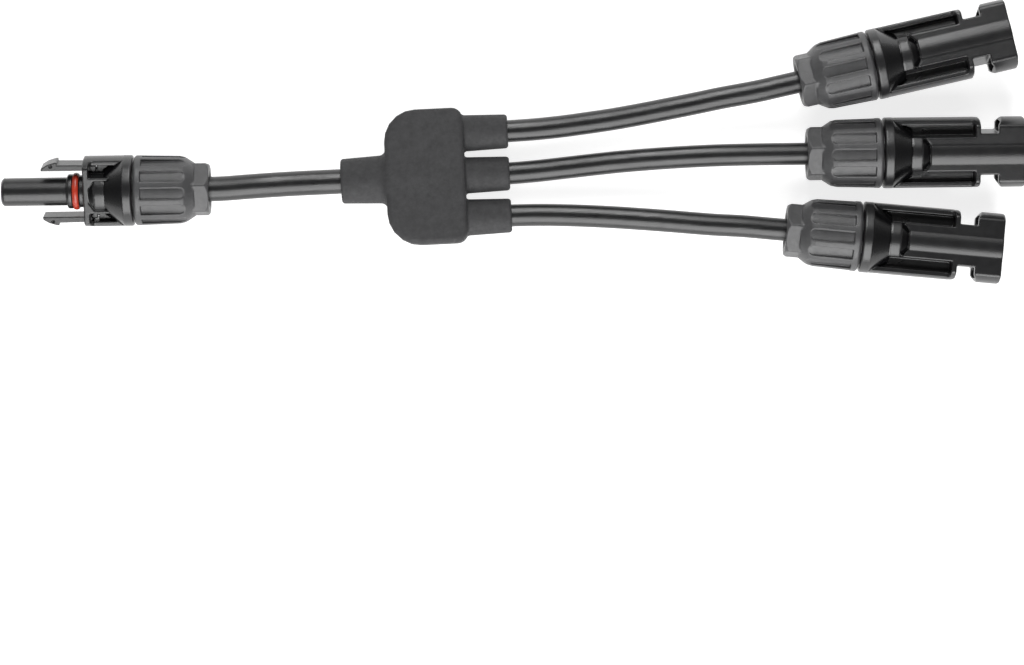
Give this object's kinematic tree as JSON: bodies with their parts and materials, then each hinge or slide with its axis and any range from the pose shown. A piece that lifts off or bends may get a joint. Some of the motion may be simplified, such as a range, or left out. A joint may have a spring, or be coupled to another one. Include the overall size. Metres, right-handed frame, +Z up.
{
  "type": "solar branch cable connector",
  "caption": "Branch connector for solar panel cables: a latching probe connector on the trunk lead, a moulded junction, and branch leads with shell connectors and gland nuts.",
  "frame": {"origin": "centre of the flat underside of the moulded junction, on the surface the object lies on", "axes": "+X from the trunk lead towards the branch leads, +Z up from the surface, +Y towards branch 1"},
  "size_m": [0.2714, 0.0753, 0.0189],
  "materials": {
    "housing": "black, satin",
    "nut": "dark grey, matte",
    "overmould": "fine matte grain",
    "sheath": "black, satin",
    "seal": "grey silicone",
    "ring": "red silicone",
    "tinned_copper": "tin plated",
    "bare_copper": "bare strands"
  },
  "bodies": {
    "splitter": {"junction_moulding": "overmould", "junction_splice_bar": "tinned_copper", "trunk_probe_housing": "housing", "trunk_sealing_ring": "ring", "trunk_socket_contact": "tinned_copper", "trunk_contact_band": "tinned_copper", "branch_1_shell_housing": "housing", "branch_1_pin_contact": "tinned_copper", "branch_2_shell_housing": "housing", "branch_2_pin_contact": "tinned_copper", "branch_3_shell_housing": "housing", "branch_3_pin_contact": "tinned_copper", "trunk_gland_seal": "seal", "trunk_cable_sheath": "sheath", "trunk_cable_conductor": "bare_copper", "branch_1_gland_seal": "seal", "branch_1_cable_sheath": "sheath", "branch_1_cable_conductor": "bare_copper", "branch_2_gland_seal": "seal", "branch_2_cable_sheath": "sheath", "branch_2_cable_conductor": "bare_copper", "branch_3_gland_seal": "seal", "branch_3_cable_sheath": "sheath", "branch_3_cable_conductor": "bare_copper"},
    "trunk_cage": {"trunk_clamp_cage": "housing"},
    "trunk_nut": {"trunk_gland_nut": "nut"},
    "branch_1_cage": {"branch_1_clamp_cage": "housing"},
    "branch_1_nut": {"branch_1_gland_nut": "nut"},
    "branch_2_cage": {"branch_2_clamp_cage": "housing"},
    "branch_2_nut": {"branch_2_gland_nut": "nut"},
    "branch_3_cage": {"branch_3_clamp_cage": "housing"},
    "branch_3_nut": {"branch_3_gland_nut": "nut"},
    "latch_left": {"trunk_latch_finger_left": "housing"},
    "latch_right": {"trunk_latch_finger_right": "housing"}
  },
  "joints": [
    {"name": "trunk_cage_slide", "type": "slide", "parent": "splitter", "child": "trunk_cage", "axis": [0.9995, -0.0332, 0], "range_m": [0, 0.009]},
    {"name": "trunk_nut_turn", "type": "hinge", "parent": "trunk_cage", "child": "trunk_nut", "pos_m": [-0.0574, -0.0005, 0.0095], "axis": [0.9995, -0.0332, 0], "range_deg": [0, 2162]},
    {"name": "branch_1_cage_slide", "type": "slide", "parent": "splitter", "child": "branch_1_cage", "axis": [-0.9845, -0.1754, 0], "range_m": [0, 0.009]},
    {"name": "branch_1_nut_turn", "type": "hinge", "parent": "branch_1_cage", "child": "branch_1_nut", "pos_m": [0.09986, 0.02045, 0.0095], "axis": [-0.9845, -0.1754, 0], "range_deg": [0, 2162]},
    {"name": "branch_2_cage_slide", "type": "slide", "parent": "splitter", "child": "branch_2_cage", "axis": [-0.9993, 0.0366, 0], "range_m": [0, 0.009]},
    {"name": "branch_2_nut_turn", "type": "hinge", "parent": "branch_2_cage", "child": "branch_2_nut", "pos_m": [0.1011, 0.0013, 0.0095], "axis": [-0.9993, 0.0366, 0], "range_deg": [0, 2162]},
    {"name": "branch_3_cage_slide", "type": "slide", "parent": "splitter", "child": "branch_3_cage", "axis": [-0.9907, 0.1357, 0], "range_m": [0, 0.009]},
    {"name": "branch_3_nut_turn", "type": "hinge", "parent": "branch_3_cage", "child": "branch_3_nut", "pos_m": [0.0945, -0.0186, 0.0095], "axis": [-0.9907, 0.1357, 0], "range_deg": [0, 2162]},
    {"name": "latch_left_squeeze", "type": "hinge", "parent": "splitter", "child": "latch_left", "pos_m": [-0.08991, -0.00617, 0.00744], "axis": [0.0097, 0.2922, -0.9563], "range_deg": [0, 8], "stiffness_Nm_per_rad": 0.5},
    {"name": "latch_right_squeeze", "type": "hinge", "parent": "splitter", "child": "latch_right", "pos_m": [-0.08946, 0.00731, 0.01156], "axis": [-0.0097, -0.2922, 0.9563], "range_deg": [0, 8], "stiffness_Nm_per_rad": 0.5}
  ],
  "couplings": [
    {"joint": "trunk_nut_turn", "follows": "trunk_cage_slide", "rad_per_m": 4188.8},
    {"joint": "branch_1_nut_turn", "follows": "branch_1_cage_slide", "rad_per_m": 4188.8},
    {"joint": "branch_2_nut_turn", "follows": "branch_2_cage_slide", "rad_per_m": 4188.8},
    {"joint": "branch_3_nut_turn", "follows": "branch_3_cage_slide", "rad_per_m": 4188.8}
  ]
}
